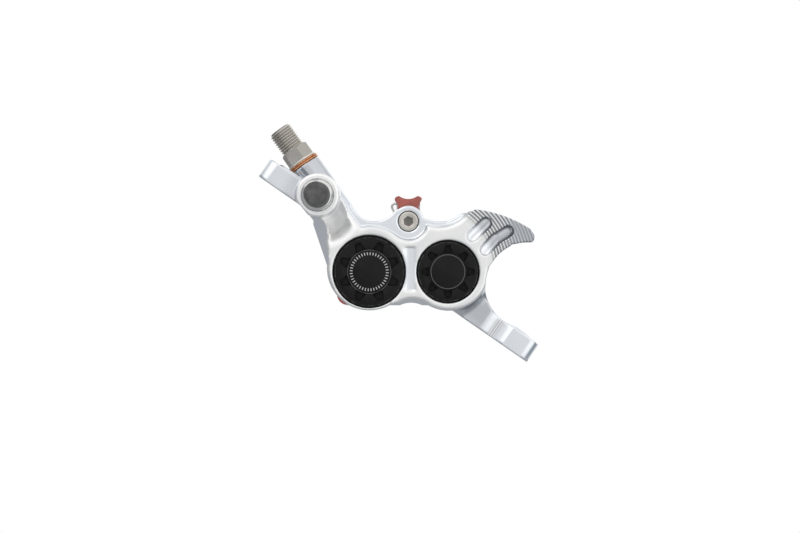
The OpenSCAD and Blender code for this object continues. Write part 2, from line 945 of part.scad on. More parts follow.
module fitting_washer() {
    r = washer_d / 2;
    color([0.75, 0.42, 0.27])
        hose()
            rotate_extrude()
                polygon([[fitting_thread_d / 2 + fit_gap, 0], [r - 0.25, 0], [r, 0.25], [r, washer_t / 2 - 0.2],
                    [r - 0.25, washer_t / 2], [r, washer_t / 2 + 0.2], [r, washer_t - 0.25], [r - 0.25, washer_t],
                    [fitting_thread_d / 2 + fit_gap, washer_t]]);
}

caliper_body();
large_bore_cap();
small_bore_cap();
large_cap_oring();
small_cap_oring();
outer_large_piston();
outer_small_piston();
inner_large_piston();
inner_small_piston();
outer_large_insert();
outer_small_insert();
inner_large_insert();
inner_small_insert();
outer_large_seal();
outer_small_seal();
inner_large_seal();
inner_small_seal();
outer_pad_plate();
inner_pad_plate();
outer_pad_friction();
inner_pad_friction();
pad_pin();
pad_pin_clip();
pad_spring();
bleed_nipple();
bleed_cap();
hose_fitting();
fitting_washer();
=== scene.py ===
"""Looks of a four-piston disc brake caliper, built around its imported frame."""

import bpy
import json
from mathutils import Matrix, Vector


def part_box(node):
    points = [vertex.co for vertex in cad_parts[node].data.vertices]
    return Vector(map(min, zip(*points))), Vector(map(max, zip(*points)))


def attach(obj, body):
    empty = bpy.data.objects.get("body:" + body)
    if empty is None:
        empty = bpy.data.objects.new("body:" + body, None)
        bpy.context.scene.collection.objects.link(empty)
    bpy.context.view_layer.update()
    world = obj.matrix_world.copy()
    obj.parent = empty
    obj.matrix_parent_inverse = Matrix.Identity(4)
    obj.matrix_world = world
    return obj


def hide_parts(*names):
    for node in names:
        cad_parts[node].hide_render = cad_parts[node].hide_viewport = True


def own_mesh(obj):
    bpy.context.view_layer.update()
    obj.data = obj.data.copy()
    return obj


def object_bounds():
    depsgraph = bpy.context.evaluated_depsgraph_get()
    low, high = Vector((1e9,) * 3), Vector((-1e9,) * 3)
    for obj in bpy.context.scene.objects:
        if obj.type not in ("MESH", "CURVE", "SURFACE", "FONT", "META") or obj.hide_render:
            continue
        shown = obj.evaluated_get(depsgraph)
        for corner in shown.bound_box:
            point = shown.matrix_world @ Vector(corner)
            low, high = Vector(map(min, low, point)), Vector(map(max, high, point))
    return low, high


bl_info = {
    "name": "Disc Brake Caliper Looks",
    "version": (1, 0, 0),
    "blender": (4, 5, 0),
    "location": "View3D > Sidebar > Caliper",
    "description": "Dresses a packed disc brake caliper in its milled, turned and moulded finishes",
    "category": "Object",
}

import json
import math

import bmesh
import bpy
from bpy.props import FloatProperty, FloatVectorProperty, IntProperty, PointerProperty
from mathutils import Matrix, Vector, kdtree
from mathutils.bvhtree import BVHTree

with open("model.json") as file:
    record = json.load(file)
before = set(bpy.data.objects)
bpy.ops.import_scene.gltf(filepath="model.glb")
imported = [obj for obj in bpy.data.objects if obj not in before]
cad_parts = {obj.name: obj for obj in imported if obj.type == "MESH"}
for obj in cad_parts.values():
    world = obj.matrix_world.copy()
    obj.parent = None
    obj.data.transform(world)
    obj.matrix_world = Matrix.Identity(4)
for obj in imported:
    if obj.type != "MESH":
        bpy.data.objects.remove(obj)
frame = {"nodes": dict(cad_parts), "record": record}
CAD_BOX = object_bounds()
MM = 0.001


def mm(*values):
    return Vector(values) * MM


def middle(node):
    low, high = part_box(node)
    return (low + high) / 2


def reach(node):
    """Half width of a round node along X, and its front and back along Y."""
    low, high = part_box(node)
    return (high.x - low.x) / 2, low.y, high.y


def mount(name):
    return next(m for m in frame["record"]["mounts"] if m["name"] == name)


# The head frame: x from the large to the small cap, z away from the rotor's centre
LARGE = middle("large_bore_cap")
SMALL = middle("small_bore_cap")
ALONG = Vector((SMALL.x - LARGE.x, 0, SMALL.z - LARGE.z)).normalized()
UPWARD = Vector((-ALONG.z, 0, ALONG.x))
CENTRE = (LARGE + SMALL) / 2
HEAD = Matrix(
    (
        (ALONG.x, 0, UPWARD.x, CENTRE.x),
        (0, 1, 0, 0),
        (ALONG.z, 0, UPWARD.z, CENTRE.z),
        (0, 0, 0, 1),
    )
)
INTO_HEAD = HEAD.inverted()
# Turns a shell's own Z axis to the row's +Y
FACING = Matrix.Rotation(math.radians(-90), 4, "X")
# The matching turn of a pattern
FACING_TURN = (math.radians(90), 0, 0)
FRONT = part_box("caliper_body")[0].y
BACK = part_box("caliper_body")[1].y
# Spots of the head frame: the ball-milled dish, the bleed boss and the axis of the horn's terraces
DISH = mm(-22, 0, 15.5)
BOSS = INTO_HEAD @ middle("bleed_nipple")
BOSS_RADIUS = 5.9 * MM
TERRACE_AXIS = mm(4.7, 0, 0.3)
TERRACE_START = 16 * MM
TERRACE_CURVE = 28 * MM
# The hose fitting, from its seat on the barrel to the end of its thread
WASHER = 1.1 * MM
COLLAR_HEIGHT = 0.6 * MM
HEX_HEIGHT = 3.8 * MM
HEX_FLATS = 7.2 * MM
THREAD_LENGTH = 6.7 * MM
THREAD_DEPTH = 0.42 * MM
THREAD_MIDDLE = WASHER + COLLAR_HEIGHT + HEX_HEIGHT + THREAD_LENGTH / 2
CAP_POCKETS = 8
# Shares of a bore cap's radius
CAP_CENTRE = 0.57
CAP_RIM = 0.945
FULL_TURN = 2 * math.pi
# Points closer than this are one point
DOUBLES = 1e-7
# Step between the marks along the body's sharp edges
EDGE_STEP = 0.15 * MM


class CaliperSizes(bpy.types.PropertyGroup):
    """Sizes of the surface detail that the solids leave out."""

    skin_voxel: FloatProperty(
        name="Skin Grid", description="Grid of the body's milled skin",
        default=0.3 * MM, min=0.2 * MM, max=0.6 * MM, precision=5, unit="LENGTH",
    )
    skin_passes: IntProperty(
        name="Skin Passes", description="Smoothing passes that break the body's sharp edges", default=3, min=1, max=8
    )
    skin_triangles: IntProperty(
        name="Skin Triangles", description="Triangles that the body's skin is thinned to",
        default=190000, min=60000, max=199000,
    )
    edge_break: FloatProperty(
        name="Edge Break", description="Width of the band that rounds off along the body's edges",
        default=0.55 * MM, min=0.2 * MM, max=1.0 * MM, precision=5, unit="LENGTH",
    )
    terrace_pitch: FloatProperty(
        name="Terrace Pitch", description="Step of the cutter between two ridges of the horn",
        default=0.84 * MM, min=0.5 * MM, max=1.2 * MM, precision=5, unit="LENGTH",
    )
    terrace_rise: FloatProperty(
        name="Terrace Rise", description="Crown of each of the horn's steps",
        default=0.05 * MM, min=0, max=0.3 * MM, precision=5, unit="LENGTH",
    )
    thread_pitch: FloatProperty(
        name="Thread Pitch", description="Pitch of the hose fitting's thread",
        default=0.74 * MM, min=0.5 * MM, max=1.25 * MM, precision=5, unit="LENGTH",
    )


class CaliperColours(bpy.types.PropertyGroup):
    """Base colours of the caliper's finishes."""

    alloy: FloatVectorProperty(
        name="Alloy", description="Lapped front of the body", subtype="COLOR", size=3,
        default=(0.92, 0.92, 0.91), min=0, max=1,
    )
    alloy_cut: FloatVectorProperty(
        name="Cut Alloy", description="Milled flanks and lower levels of the body", subtype="COLOR", size=3,
        default=(0.84, 0.87, 0.91), min=0, max=1,
    )
    anodise: FloatVectorProperty(
        name="Anodise", description="Black bore caps", subtype="COLOR", size=3,
        default=(0.004, 0.004, 0.0038), min=0, max=1,
    )
    rubber: FloatVectorProperty(
        name="Rubber", description="Dust cap", subtype="COLOR", size=3,
        default=(0.085, 0.085, 0.083), min=0, max=1,
    )
    stainless: FloatVectorProperty(
        name="Stainless", description="Hose fitting, nipple and pin", subtype="COLOR", size=3,
        default=(0.82, 0.78, 0.72), min=0, max=1,
    )
    copper: FloatVectorProperty(
        name="Copper", description="Washer under the hose fitting", subtype="COLOR", size=3,
        default=(0.72, 0.36, 0.19), min=0, max=1,
    )
    pad_coat: FloatVectorProperty(
        name="Pad Coat", description="Powder coat of the pad plates", subtype="COLOR", size=3,
        default=(0.40, 0.10, 0.08), min=0, max=1,
    )
    friction: FloatVectorProperty(
        name="Friction", description="Pressed friction compound", subtype="COLOR", size=3,
        default=(0.10, 0.09, 0.085), min=0, max=1,
    )


class Term:
    """A shader value that Python sums can use."""

    def __init__(self, web, socket):
        self.web = web
        self.socket = socket

    def math(self, operation, *values):
        return self.web.node("ShaderNodeMath", {"operation": operation}, dict(enumerate(values or (self,))))

    def __add__(self, other):
        return self.math("ADD", self, other)

    def __radd__(self, other):
        return self.math("ADD", other, self)

    def __sub__(self, other):
        return self.math("SUBTRACT", self, other)

    def __rsub__(self, other):
        return self.math("SUBTRACT", other, self)

    def __mul__(self, other):
        return self.math("MULTIPLY", self, other)

    def __rmul__(self, other):
        return self.math("MULTIPLY", other, self)

    def __truediv__(self, other):
        return self.math("DIVIDE", self, other)

    def __rtruediv__(self, other):
        return self.math("DIVIDE", other, self)

    def __pow__(self, other):
        return self.math("POWER", self, other)

    def __abs__(self):
        return self.math("ABSOLUTE")

    def wave(self, pitch):
        """Sine that repeats at a pitch."""
        return (self * (FULL_TURN / pitch)).math("SINE")

    def share(self):
        """What is left over the whole number."""
        return self.math("FRACT")

    def most(self, other):
        return self.math("MAXIMUM", self, other)

    def within(self, low, high):
        """Runs smoothly from 0 at low to 1 at high."""
        return self.web.node(
            "ShaderNodeMapRange", {"interpolation_type": "SMOOTHSTEP"},
            {"Value": self, "From Min": low, "From Max": high},
        )

    def near(self, place, half, soft):
        """1 within half of a place, falling to 0 over soft."""
        return 1 - abs(self - place).within(half, half + soft)


class Web:
    """Nodes of a material or a world."""

    def __init__(self, tree):
        self.tree = tree

    def node(self, kind, settings=None, values=None, output=0):
        """Adds a node, sets it up, then fills or links its sockets."""
        made = self.tree.nodes.new(kind)
        for key, value in (settings or {}).items():
            setattr(made, key, value)
        for key, value in (values or {}).items():
            self.plug(made.inputs[key], value)
        return Term(self, made.outputs[output])

    def plug(self, socket, value):
        if isinstance(value, Term):
            self.tree.links.new(value.socket, socket)
        elif socket.type == "RGBA":
            socket.default_value = (*value, 1)
        else:
            socket.default_value = value

    def outputs(self, term, *names):
        """Other outputs of the node behind a value."""
        return [Term(self, term.socket.node.outputs[name]) for name in names]

    def place(self):
        """Object coordinates."""
        return self.node("ShaderNodeTexCoord", output="Object")

    def mapped(self, turn=(0, 0, 0), shift=(0, 0, 0), scale=(1, 1, 1)):
        """Object coordinates, moved, turned and stretched."""
        return self.node(
            "ShaderNodeMapping", {"vector_type": "TEXTURE"},
            {"Vector": self.place(), "Location": shift, "Rotation": turn, "Scale": scale},
        )

    def axes(self, vector):
        """The three parts of a vector."""
        return self.outputs(self.node("ShaderNodeSeparateXYZ", None, {0: vector}), "X", "Y", "Z")

    def apart(self, across, up, spot):
        """Distance from an axis that runs through a spot of the head frame."""
        return ((across - spot.x) ** 2 + (up - spot.z) ** 2) ** 0.5

    def noise(self, scale, detail=3, vector=None, rough=0.5):
        return self.node(
            "ShaderNodeTexNoise", None,
            {"Vector": vector or self.place(), "Scale": scale, "Detail": detail, "Roughness": rough},
        )

    def blend(self, factor, first, second):
        """Mixes two colours."""
        return self.node("ShaderNodeMix", {"data_type": "RGBA"}, {0: factor, 6: first, 7: second}, 2)

    def bump(self, height, strength, distance):
        return self.node(
            "ShaderNodeBump", None, {"Height": height, "Strength": strength, "Distance": distance}
        )


class Finish(Web):
    """One procedural material."""

    def __init__(self, name):
        self.material = bpy.data.materials.new(name)
        self.material.use_nodes = True
        super().__init__(self.material.node_tree)
        self.shader = self.tree.nodes["Principled BSDF"]

    def set(self, **sockets):
        """Fills the surface shader's sockets, with names as in base_color."""
        for key, value in sockets.items():
            self.plug(self.shader.inputs[key.replace("_", " ").title().replace("Ior", "IOR")], value)
        return self.material


def shaded(colour, level):
    return tuple(level * part for part in colour)


def alloy_finish(colours, sizes):
    """Milled aluminium: pale on the lapped front, bluer on the deeper cuts with painted shade in the recesses,
    painted light and painted reflections in the dish, painted shade on the horn's terraces, the barrel and the tab
    roots, and cutter lines on the tabs.
    """
    finish = Finish("milled_alloy")
    cut = tuple(colours.alloy_cut)
    head = finish.axes(finish.mapped(tuple(HEAD.to_euler()), tuple(HEAD.translation)))
    across, depth, up = head
    dish = finish.apart(across, up, DISH)
    boss = finish.apart(across, up, BOSS)
    saddle = dish.near(0, 8.2 * MM, 1.6 * MM).most(boss.near(0, BOSS_RADIUS, 0.5 * MM))
    # Lower levels take the bluer milled tone, which also stands as painted shade in the recesses
    deep = depth.within(FRONT + 0.1 * MM, FRONT + 1.5 * MM) * (1 - depth.within(BACK - 1.5 * MM, BACK - 0.1 * MM))
    deep = deep * (1 - saddle * (1 - depth.within(FRONT + 3.2 * MM, FRONT + 4.4 * MM)))
    # Painted shade: the trough between the caps takes the darker, bluer tone
    trough_shade = across.near(0.35 * MM, 2 * MM, 0.3 * MM) * up.near(0.7 * MM, 5.6 * MM, 0.4 * MM)
    deep = deep.most(0.9 * trough_shade * depth.within(FRONT + 0.12 * MM, FRONT + 0.4 * MM))
    lapped = 1 - deep
    # Painted reflection: dark mottled spots in the dish
    painted_dish_reflection = dish.near(0, 3.6 * MM, 3 * MM) * finish.noise(210, 2).within(0.4, 0.7)
    cloud = finish.noise(140, 4)
    grain = finish.noise(2600, 3, finish.mapped(scale=(1, 5, 1)))
    colour = finish.blend(deep, tuple(colours.alloy), cut)
    colour = finish.blend(0.3 * cloud.within(0.4, 0.75), colour, shaded(cut, 0.85))
    # Painted light: the dish and the bleed boss are lifted towards white
    colour = finish.blend(saddle * lapped, colour, (0.99, 0.99, 0.98))
    colour = finish.blend(0.35 * painted_dish_reflection * lapped, colour, shaded(cut, 0.5))
    colour = horn_shaded(finish, colour, cut, head, sizes.terrace_pitch)
    colour = barrel_shaded(finish, colour, cut)
    colour = tabs_marked(finish, colour, cut, deep)
    rough = 0.40 - 0.22 * deep + 0.06 * grain + 0.08 * (cloud - 0.5)
    return finish.set(base_color=colour, metallic=1.0, roughness=rough, normal=finish.bump(grain, 0.08, 0.00002))


def horn_shaded(finish, colour, cut, head, pitch):
    """Painted shade on the risers between the horn's terraces, and painted shade in its pockets and along their rims.
    """
    across, depth, up = head
    radius = finish.apart(across, up, TERRACE_AXIS)
    under = depth - fall(radius)
    horn = across.within(13 * MM, 15 * MM) * up.within(1.5 * MM, 3 * MM) * (1 - depth.within(-4 * MM, -3 * MM))
    horn = horn * radius.within(TERRACE_START + 0.8 * MM, TERRACE_START + 3.5 * MM)
    riser_shade = ((radius - TERRACE_START) / pitch).share().near(0.7, 0.27, 0.08)
    ridge = under.near(0, 0.4 * MM, 0.15 * MM)
    pocket_shade = under.within(0.1 * MM, 0.4 * MM)
    # Painted shade: dark risers between the terraces, then darker pockets
    colour = finish.blend(0.9 * horn * riser_shade * ridge, colour, shaded(cut, 0.2))
    return finish.blend(0.75 * horn * pocket_shade, colour, shaded(cut, 0.42))


def barrel_shaded(finish, colour, cut):
    """Painted shade: a darker tone over the hose barrel's turned surface."""
    seat = hose_frame()
    x, y, along = finish.axes(finish.mapped(tuple(seat.to_euler()), tuple(seat.translation)))
    barrel = (x * x + y * y).within((4.9 * MM) ** 2, (4.6 * MM) ** 2) * along.within(-9 * MM, -8 * MM)
    # Painted shade over the barrel
    return finish.blend(0.8 * barrel, colour, shaded(cut, 0.66))


def tabs_marked(finish, colour, cut, deep):
    """Cutter lines along the tabs, painted shade at their roots broken into streaks, and a band of drag marks on the
    far one.
    """
    row, _, rise = finish.axes(finish.place())
    tab = abs(row).within(20 * MM, 24 * MM)
    wander = finish.noise(90, 2) * (6 / FULL_TURN * 0.5 * MM)
    line = (row + wander).wave(0.5 * MM).within(0.2, 1)
    far_root_shade = row.near(24 * MM, 4 * MM, 2 * MM)
    near_root_shade = row.near(-33 * MM, 2 * MM, 3.5 * MM) * (1 - rise.within(5.5 * MM, 7 * MM))
    streak = finish.noise(110, 3, finish.mapped(scale=(3, 1, 1))).within(0.3, 0.65)
    drag = row.wave(0.7 * MM).within(-0.5, 0.7) * row.near(32 * MM, 0.8 * MM, 0.5 * MM)
    colour = finish.blend(0.2 * tab * deep * line, colour, shaded(cut, 0.6))
    # Painted shade: the tab roots darken towards the body, broken into streaks by noise
    colour = finish.blend(far_root_shade.most(near_root_shade) * deep * (0.2 + 0.5 * streak), colour, shaded(cut, 0.5))
    return finish.blend(0.55 * drag * deep, colour, (0.42, 0.39, 0.34))


def anodise_finish(colours, name, centre, radius, marks, line):
    """Black anodised face with turning lines, a painted highlight line round its centre, a painted highlight along
    the rim and a ring of plain ticks.
    """
    finish = Finish(name)
    x, y, _ = finish.axes(finish.mapped(FACING_TURN, centre))
    away = (x * x + y * y) ** 0.5
    lines = away.wave(0.16 * MM)
    wear = finish.noise(900, 4)
    colour = finish.blend(wear.within(0.45, 0.8), tuple(colours.anodise), shaded(colours.anodise, 1.8))
    # Painted highlight: a bright line round the raised centre, at the share of the radius given by line
    painted_edge_highlight = away.near(line * radius, 0.03 * MM, 0.09 * MM)
    # Painted highlight along the rim's bevel, broken up by the wear noise
    painted_rim_highlight = away.near(CAP_RIM * radius, 0.02 * MM, 0.12 * MM) * wear.within(0.35, 0.65)
    colour = finish.blend(0.55 * painted_edge_highlight, colour, (0.22, 0.22, 0.21))
    colour = finish.blend(0.4 * painted_rim_highlight, colour, (0.16, 0.16, 0.16))
    if marks:
        turn = (x.math("ARCTAN2", y, x) * (marks / FULL_TURN)).share()
        tick = turn.near(0.5, 0.12, 0.06) * away.near(0.5 * radius, 0.036 * radius, 0.05 * MM)
        colour = finish.blend(tick, colour, (0.5, 0.5, 0.49))
    return finish.set(
        base_color=colour, roughness=0.3 + 0.1 * wear, specular_ior_level=0.2,
        normal=finish.bump(lines, 0.5, 0.00002),
    )


def rubber_finish(name, colour):
    """Moulded rubber with a dusty bloom."""
    finish = Finish(name)
    bloom = finish.noise(420, 5)
    pores = finish.noise(5200, 2)
    tint = finish.blend(bloom.within(0.35, 0.75), shaded(colour, 0.8), shaded(colour, 1.35))
    return finish.set(
        base_color=tint, roughness=0.55 + 0.2 * bloom, specular_ior_level=0.35,
        normal=finish.bump(pores, 0.25, 0.00005),
    )


def steel_finish(
    name, colour, centre, turn, lines_pitch=0.14 * MM, rough=0.24, cut=0.2, socket=None, thread=None, shadow_rings=()
):
    """Turned stainless steel with tool lines round its own axis.

    Painted shade darkens a socket between two heights. A thread is given by the radii of its root and crest and the
    height of the hexagon's top, with painted shade in the roots and on the hexagon's faces. Shadow rings are radii of
    painted shadow lines.
    """
    finish = Finish(name)
    x, y, along = finish.axes(finish.mapped(turn, centre))
    radius = (x * x + y * y) ** 0.5
    stain = finish.noise(260, 2)
    tint = finish.blend(stain.within(0.35, 0.75), shaded(colour, 0.88), tuple(colour))
    if thread:
        root, crest, top = thread
        root_shade = (1 - radius.within(root, crest)) * along.within(top, top + 0.1 * MM)
        collar = WASHER + COLLAR_HEIGHT
        hexagon = along.within(collar, collar + 0.1 * MM) * (1 - along.within(top - 0.1 * MM, top))
        # Painted shade in the thread's roots and on the hexagon's faces
        tint = finish.blend(root_shade, tint, shaded(colour, 0.4))
        tint = finish.blend(0.75 * hexagon, tint, shaded(colour, 0.42))
    for ring in shadow_rings:
        # Painted shadow line at this radius
        tint = finish.blend(radius.near(ring, 0.09 * MM, 0.08 * MM), tint, shaded(colour, 0.1))
    if socket:
        # Painted shade inside the socket
        socket_shade = (1 - along.within(*socket)) * (1 - radius.within(1.5 * MM, 1.62 * MM))
        tint = finish.blend(socket_shade, tint, shaded(colour, 0.3))
    lines = (radius + along).wave(lines_pitch)
    return finish.set(
        base_color=tint, metallic=1.0, roughness=rough + 0.16 * stain, normal=finish.bump(lines, cut, 0.000008)
    )


def copper_finish(colours):
    """Soft copper, darker where it has tarnished."""
    finish = Finish("soft_copper")
    tarnish = finish.noise(1400, 5)
    tint = finish.blend(tarnish.within(0.4, 0.75), tuple(colours.copper), shaded(colours.copper, 0.45))
    return finish.set(
        base_color=tint, metallic=1.0, roughness=0.3 + 0.25 * tarnish, normal=finish.bump(tarnish, 0.1, 0.00003)
    )


def coat_finish(colours):
    """Red powder coat with a fine orange peel."""
    finish = Finish("pad_coat")
    peel = finish.noise(2400, 2)
    shade = finish.noise(260, 3)
    tint = finish.blend(shade.within(0.3, 0.75), shaded(colours.pad_coat, 0.85), shaded(colours.pad_coat, 1.15))
    return finish.set(base_color=tint, roughness=0.42 + 0.15 * shade, normal=finish.bump(peel, 0.18, 0.00004))


def friction_finish(colours):
    """Pressed friction compound with metal flecks."""
    finish = Finish("friction_compound")
    grit = finish.noise(1500, 6, rough=0.7)
    fleck = finish.noise(3800, 2).within(0.66, 0.7)
    tint = finish.blend(grit, shaded(colours.friction, 0.6), shaded(colours.friction, 1.5))
    tint = finish.blend(fleck, tint, (0.45, 0.3, 0.18))
    return finish.set(
        base_color=tint, metallic=fleck, roughness=0.85 - 0.35 * fleck, normal=finish.bump(grit, 0.5, 0.00012)
    )


def resin_finish():
    """Moulded heat-blocking resin."""
    finish = Finish("insert_resin")
    fibre = finish.noise(1800, 4, finish.mapped(scale=(1, 1, 4)))
    tint = finish.blend(fibre, (0.10, 0.055, 0.025), (0.2, 0.12, 0.06))
    return finish.set(base_color=tint, roughness=0.6 + 0.2 * fibre, normal=finish.bump(fibre, 0.2, 0.00005))


def spring_finish():
    """Bright rolled spring steel."""
    finish = Finish("spring_steel")
    roll = finish.noise(1600, 3, finish.mapped(scale=(1, 8, 1)))
    tint = finish.blend(roll, (0.5, 0.5, 0.5), (0.68, 0.68, 0.67))
    return finish.set(
        base_color=tint, metallic=1.0, roughness=0.22 + 0.2 * roll, normal=finish.bump(roll, 0.1, 0.00002)
    )


def turned(profile, steps=96, closed=False):
    """Shell turned about Z from points of radius and height."""
    bm = bmesh.new()
    verts = [bm.verts.new((r, 0, h)) for r, h in profile]
    pairs = list(zip(verts, verts[1:]))
    if closed:
        pairs.append((verts[-1], verts[0]))
    edges = [bm.edges.new(pair) for pair in pairs]
    bmesh.ops.spin(
        bm, geom=verts + edges, cent=(0, 0, 0), axis=(0, 0, 1), angle=FULL_TURN, steps=steps, use_merge=True
    )
    return tidied(bm)


def tidied(bm):
    """Merges doubles and points the faces outwards."""
    bmesh.ops.remove_doubles(bm, verts=bm.verts, dist=DOUBLES)
    bmesh.ops.recalc_face_normals(bm, faces=bm.faces)
    return bm


def bevelled(bm, edges, width, segments):
    bmesh.ops.bevel(
        bm, geom=edges, offset=width, offset_type="OFFSET", segments=segments, profile=0.5,
        affect="EDGES", clamp_overlap=True, material=-1,
    )
    return bm


def softened(bm, width, segments=2, angle=28):
    """Breaks the shell's sharp edges."""
    limit = math.radians(angle)
    edges = [e for e in bm.edges if e.is_manifold and e.calc_face_angle() > limit]
    return bevelled(bm, edges, width, segments)


def prism(sides, across_flats, low, high, turn=0):
    """Upright prism with regular sides."""
    bm = bmesh.new()
    radius = across_flats / 2 / math.cos(math.pi / sides)
    bmesh.ops.create_cone(
        bm, cap_ends=True, segments=sides, radius1=radius, radius2=radius, depth=high - low,
        matrix=Matrix.Translation((0, 0, (low + high) / 2)) @ Matrix.Rotation(turn, 4, "Z"),
    )
    return bm


def benched(bm):
    """Working object with a shell as its mesh."""
    mesh = bpy.data.meshes.new("work")
    bm.to_mesh(mesh)
    bm.free()
    obj = bpy.data.objects.new("work", mesh)
    bpy.context.scene.collection.objects.link(obj)
    return obj


def binned(obj):
    mesh = obj.data
    bpy.data.objects.remove(obj)
    bpy.data.meshes.remove(mesh)


def modified(bm, kind, **settings):
    """What a modifier makes of a shell."""
    stock = benched(bm)
    change = stock.modifiers.new("work", kind)
    for key, value in settings.items():
        setattr(change, key, value)
    made = bmesh.new()
    made.from_object(stock, bpy.context.evaluated_depsgraph_get())
    binned(stock)
    return made


def carved(stock, tool, operation="DIFFERENCE"):
    """Cuts one shell with another, joins them or keeps what they share."""
    cutter = benched(tool)
    made = modified(stock, "BOOLEAN", object=cutter, operation=operation, solver="EXACT")
    binned(cutter)
    return made


def merged(node):
    """Merged copy of a node's mesh."""
    bm = bmesh.new()
    bm.from_mesh(frame["nodes"][node].data)
    bmesh.ops.remove_doubles(bm, verts=bm.verts, dist=DOUBLES)
    return bm


def settled(name, bm, body, slot, material, *nodes, crease=32):
    """Makes the finished piece and hangs it on its body in place of its nodes."""
    mesh = bpy.data.meshes.new(name)
    bm.to_mesh(mesh)
    bm.free()
    mesh.shade_smooth()
    mesh.set_sharp_from_angle(angle=math.radians(crease))
    mesh.materials.append(material)
    obj = bpy.data.objects.new(name, mesh)
    bpy.context.scene.collection.objects.link(obj)
    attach(obj, body)
    if nodes:
        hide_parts(*nodes)
    return obj


def painted(node, material):
    """Gives a carried-over node its finish."""
    mesh = frame["nodes"][node].data
    mesh.materials.clear()
    mesh.materials.append(material)


def edge_points(bm, step):
    """Points along the sharp edges of a solid, in a search tree."""
    points = []
    for edge in bm.edges:
        if edge.is_manifold and edge.calc_face_angle() < math.radians(24):
            continue
        first, last = (v.co for v in edge.verts)
        count = max(1, int((last - first).length / step))
        points.extend(first.lerp(last, i / count) for i in range(count + 1))
    tree = kdtree.KDTree(len(points))
    for i, point in enumerate(points):
        tree.insert(point, i)
    tree.balance()
    return tree


def smooth_step(value, low, high):
    t = min(1.0, max(0.0, (value - low) / (high - low)))
    return t * t * (3 - 2 * t)


def relaxed(bm, verts, passes):
    """Evens out points over a number of passes."""
    for _ in range(passes):
        bmesh.ops.smooth_vert(bm, verts=verts, factor=0.5, use_axis_x=True, use_axis_y=True, use_axis_z=True)


def milled_skin(sizes):
    """Even skin over the body's solid, with broken edges and true faces."""
    solid = merged("caliper_body")
    surface = BVHTree.FromBMesh(solid)
    sharp = edge_points(solid, EDGE_STEP)
    skin = modified(solid, "REMESH", mode="VOXEL", voxel_size=sizes.skin_voxel)
    relaxed(skin, skin.verts, sizes.skin_passes)
    for vert in skin.verts:
        near = surface.find_nearest(vert.co)[0]
        away = sharp.find(vert.co)[2]
        vert.co = vert.co.lerp(near, smooth_step(away, 0.25 * sizes.edge_break, sizes.edge_break))
    # Points closer to the dish get more passes, so the rounding fades into the front
    for extent in (11.4, 10.6, 9.8, 9):
        relaxed(skin, dish_rim(skin, extent * MM), 20)
    return skin


def apart(place, spot):
    """Distance between two places of the head frame, seen from the front."""
    return math.hypot(place.x - spot.x, place.z - spot.z)


def dish_rim(skin, extent):
    """Points round the edge of the ball-milled dish, clear of the bleed boss and the large cap."""
    cap = INTO_HEAD @ LARGE
    rim = []
    for vert in skin.verts:
        if vert.co.y > FRONT + 3 * MM:
            continue
        place = INTO_HEAD @ vert.co
        clear = apart(place, BOSS) > BOSS_RADIUS + 0.7 * MM and apart(place, cap) > 10.6 * MM
        if clear and 5.5 * MM < apart(place, DISH) < extent:
            rim.append(vert)
    return rim


def fall(radius):
    """Depth of the horn's shoulder at a radius from the terraces' axis."""
    return FRONT + (radius - TERRACE_START) ** 2 / (2 * TERRACE_CURVE)


def on_shoulder(co):
    """Radius from the terraces' axis, or None off the horn's shoulder."""
    place = INTO_HEAD @ co
    radius = apart(place, TERRACE_AXIS)
    if place.x < 12 * MM or place.z < 1.5 * MM or radius < TERRACE_START:
        return None
    return radius if abs(co.y - fall(radius)) < 0.16 * MM else None


def terraced(skin, sizes):
    """Cuts the horn's concentric ridges into the skin."""
    skin.normal_update()
    faces = [f for f in skin.faces if f.normal.y < -0.6 and on_shoulder(f.calc_center_median()) is not None]
    edges = list({e for f in faces for e in f.edges})
    bmesh.ops.subdivide_edges(skin, edges=edges, cuts=2, use_grid_fill=True)
    skin.normal_update()
    moved = []
    for vert in skin.verts:
        if vert.normal.y > -0.8:
            continue
        radius = on_shoulder(vert.co)
        if radius is None:
            continue
        count, share = divmod((radius - TERRACE_START) / sizes.terrace_pitch, 1)
        tread = TERRACE_START + count * sizes.terrace_pitch
        step = fall(tread + sizes.terrace_pitch) - fall(tread)
        crown = sizes.terrace_rise * math.sin(math.pi * share) ** 2
        height = fall(tread) + step * smooth_step(share, 0.5, 1) - crown
        fade = smooth_step(radius, TERRACE_START + 0.4 * MM, TERRACE_START + 2.2 * MM)
        moved.append((vert, (height - fall(radius)) * fade))
    for vert, shift in moved:
        vert.co.y += shift
    return skin


class CALIPER_OT_body(bpy.types.Operator):
    """Skin the one-piece body and cut the horn's terraces"""

    bl_idname = "caliper.body"
    bl_label = "Milled Body"

    def execute(self, context):
        sizes = context.scene.caliper_sizes
        skin = terraced(milled_skin(sizes), sizes)
        bmesh.ops.triangulate(skin, faces=skin.faces)
        skin = modified(skin, "DECIMATE", ratio=min(1, sizes.skin_triangles / len(skin.faces)))
        settled(
            "milled_body", skin, "caliper", "body_alloy",
            alloy_finish(context.scene.caliper_colours, sizes), "caliper_body", crease=60,
        )
        return {"FINISHED"}


